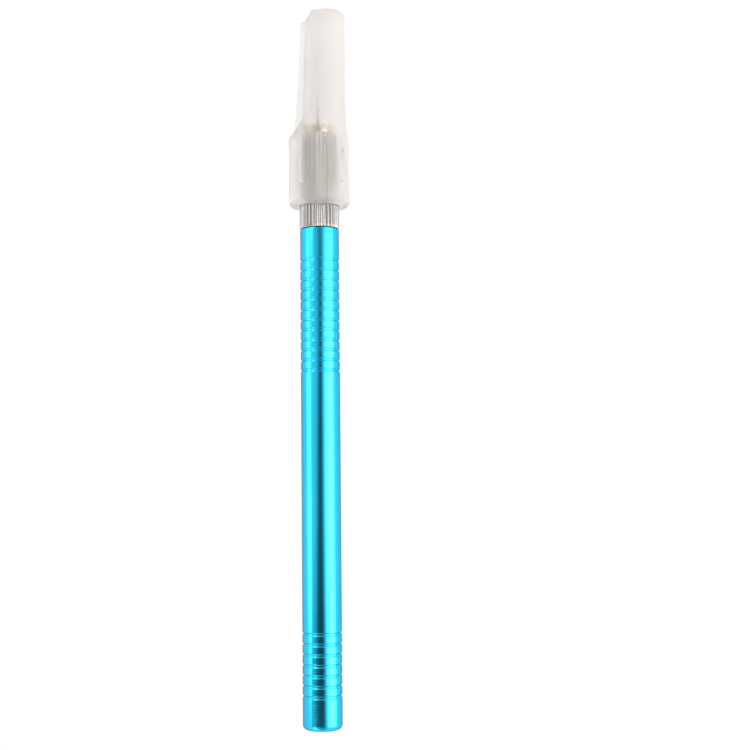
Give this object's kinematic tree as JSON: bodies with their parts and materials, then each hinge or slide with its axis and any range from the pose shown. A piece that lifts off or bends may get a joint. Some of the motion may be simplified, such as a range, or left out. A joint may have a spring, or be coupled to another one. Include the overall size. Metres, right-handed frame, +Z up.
{
  "type": "hobby craft knife",
  "caption": "Slim precision craft knife with a grooved metal handle, a knurled chuck collar, a split collet that holds a fine-point blade, and a push-on plastic safety cap.",
  "frame": {"origin": "centre of the bounding box's underside, on the surface that the knife lies on", "axes": "+X along the knife towards the cap's end, +Z up, +Y to the left of someone who looks along +X; the knife's own axis rises 1.3 degrees from +X, because it lies on the cap's rim and on the tail's rim"},
  "size_m": [0.1466, 0.0126, 0.0128],
  "materials": {
    "anodised_aluminium": "glossy cyan-blue anodised",
    "nickel_steel": "bright, nickel-like, straight knurl",
    "collet_brass": "machined",
    "blade_steel": "satin body, ground edge",
    "milky_plastic": "milky translucent polyethylene"
  },
  "bodies": {
    "handle": {"handle_barrel": "anodised_aluminium"},
    "collar": {"knurled_collar": "nickel_steel"},
    "collet": {"collet_stem": "collet_brass", "blade": "blade_steel"},
    "jaw_1": {"collet_jaw_1": "collet_brass"},
    "jaw_2": {"collet_jaw_2": "collet_brass"},
    "jaw_3": {"collet_jaw_3": "collet_brass"},
    "jaw_4": {"collet_jaw_4": "collet_brass"},
    "cap": {"safety_cap": "milky_plastic"}
  },
  "joints": [
    {"name": "collar_turn", "type": "hinge", "parent": "handle", "child": "collar", "pos_m": [0.02788, 0, 0.00618], "axis": [0.9998, 0, 0.0218], "range_deg": [0, 450]},
    {"name": "collet_draw", "type": "slide", "parent": "collar", "child": "collet", "axis": [0.9998, 0, 0.0218], "range_m": [0, 0.000625]},
    {"name": "jaw_1_flex", "type": "hinge", "parent": "collet", "child": "jaw_1", "pos_m": [0.03425, -0.00134, 0.00767], "axis": [0.0154, -0.7071, -0.7069], "range_deg": [0, 0.56]},
    {"name": "jaw_2_flex", "type": "hinge", "parent": "collet", "child": "jaw_2", "pos_m": [0.03431, -0.00134, 0.00498], "axis": [0.0154, 0.7071, -0.7069], "range_deg": [0, 0.56]},
    {"name": "jaw_3_flex", "type": "hinge", "parent": "collet", "child": "jaw_3", "pos_m": [0.03431, 0.00134, 0.00498], "axis": [-0.0154, 0.7071, 0.7069], "range_deg": [0, 0.56]},
    {"name": "jaw_4_flex", "type": "hinge", "parent": "collet", "child": "jaw_4", "pos_m": [0.03425, 0.00134, 0.00767], "axis": [-0.0154, -0.7071, 0.7069], "range_deg": [0, 0.56]},
    {"name": "cap_slide", "type": "slide", "parent": "collar", "child": "cap", "axis": [0.9998, 0, 0.0218], "range_m": [0, 0.045]}
  ],
  "couplings": [
    {"joint": "collar_turn", "follows": "collet_draw", "rad_per_m": 12566},
    {"joint": "jaw_1_flex", "follows": "collet_draw", "rad_per_m": 15.36},
    {"joint": "jaw_2_flex", "follows": "collet_draw", "rad_per_m": 15.36},
    {"joint": "jaw_3_flex", "follows": "collet_draw", "rad_per_m": 15.36},
    {"joint": "jaw_4_flex", "follows": "collet_draw", "rad_per_m": 15.36}
  ]
}
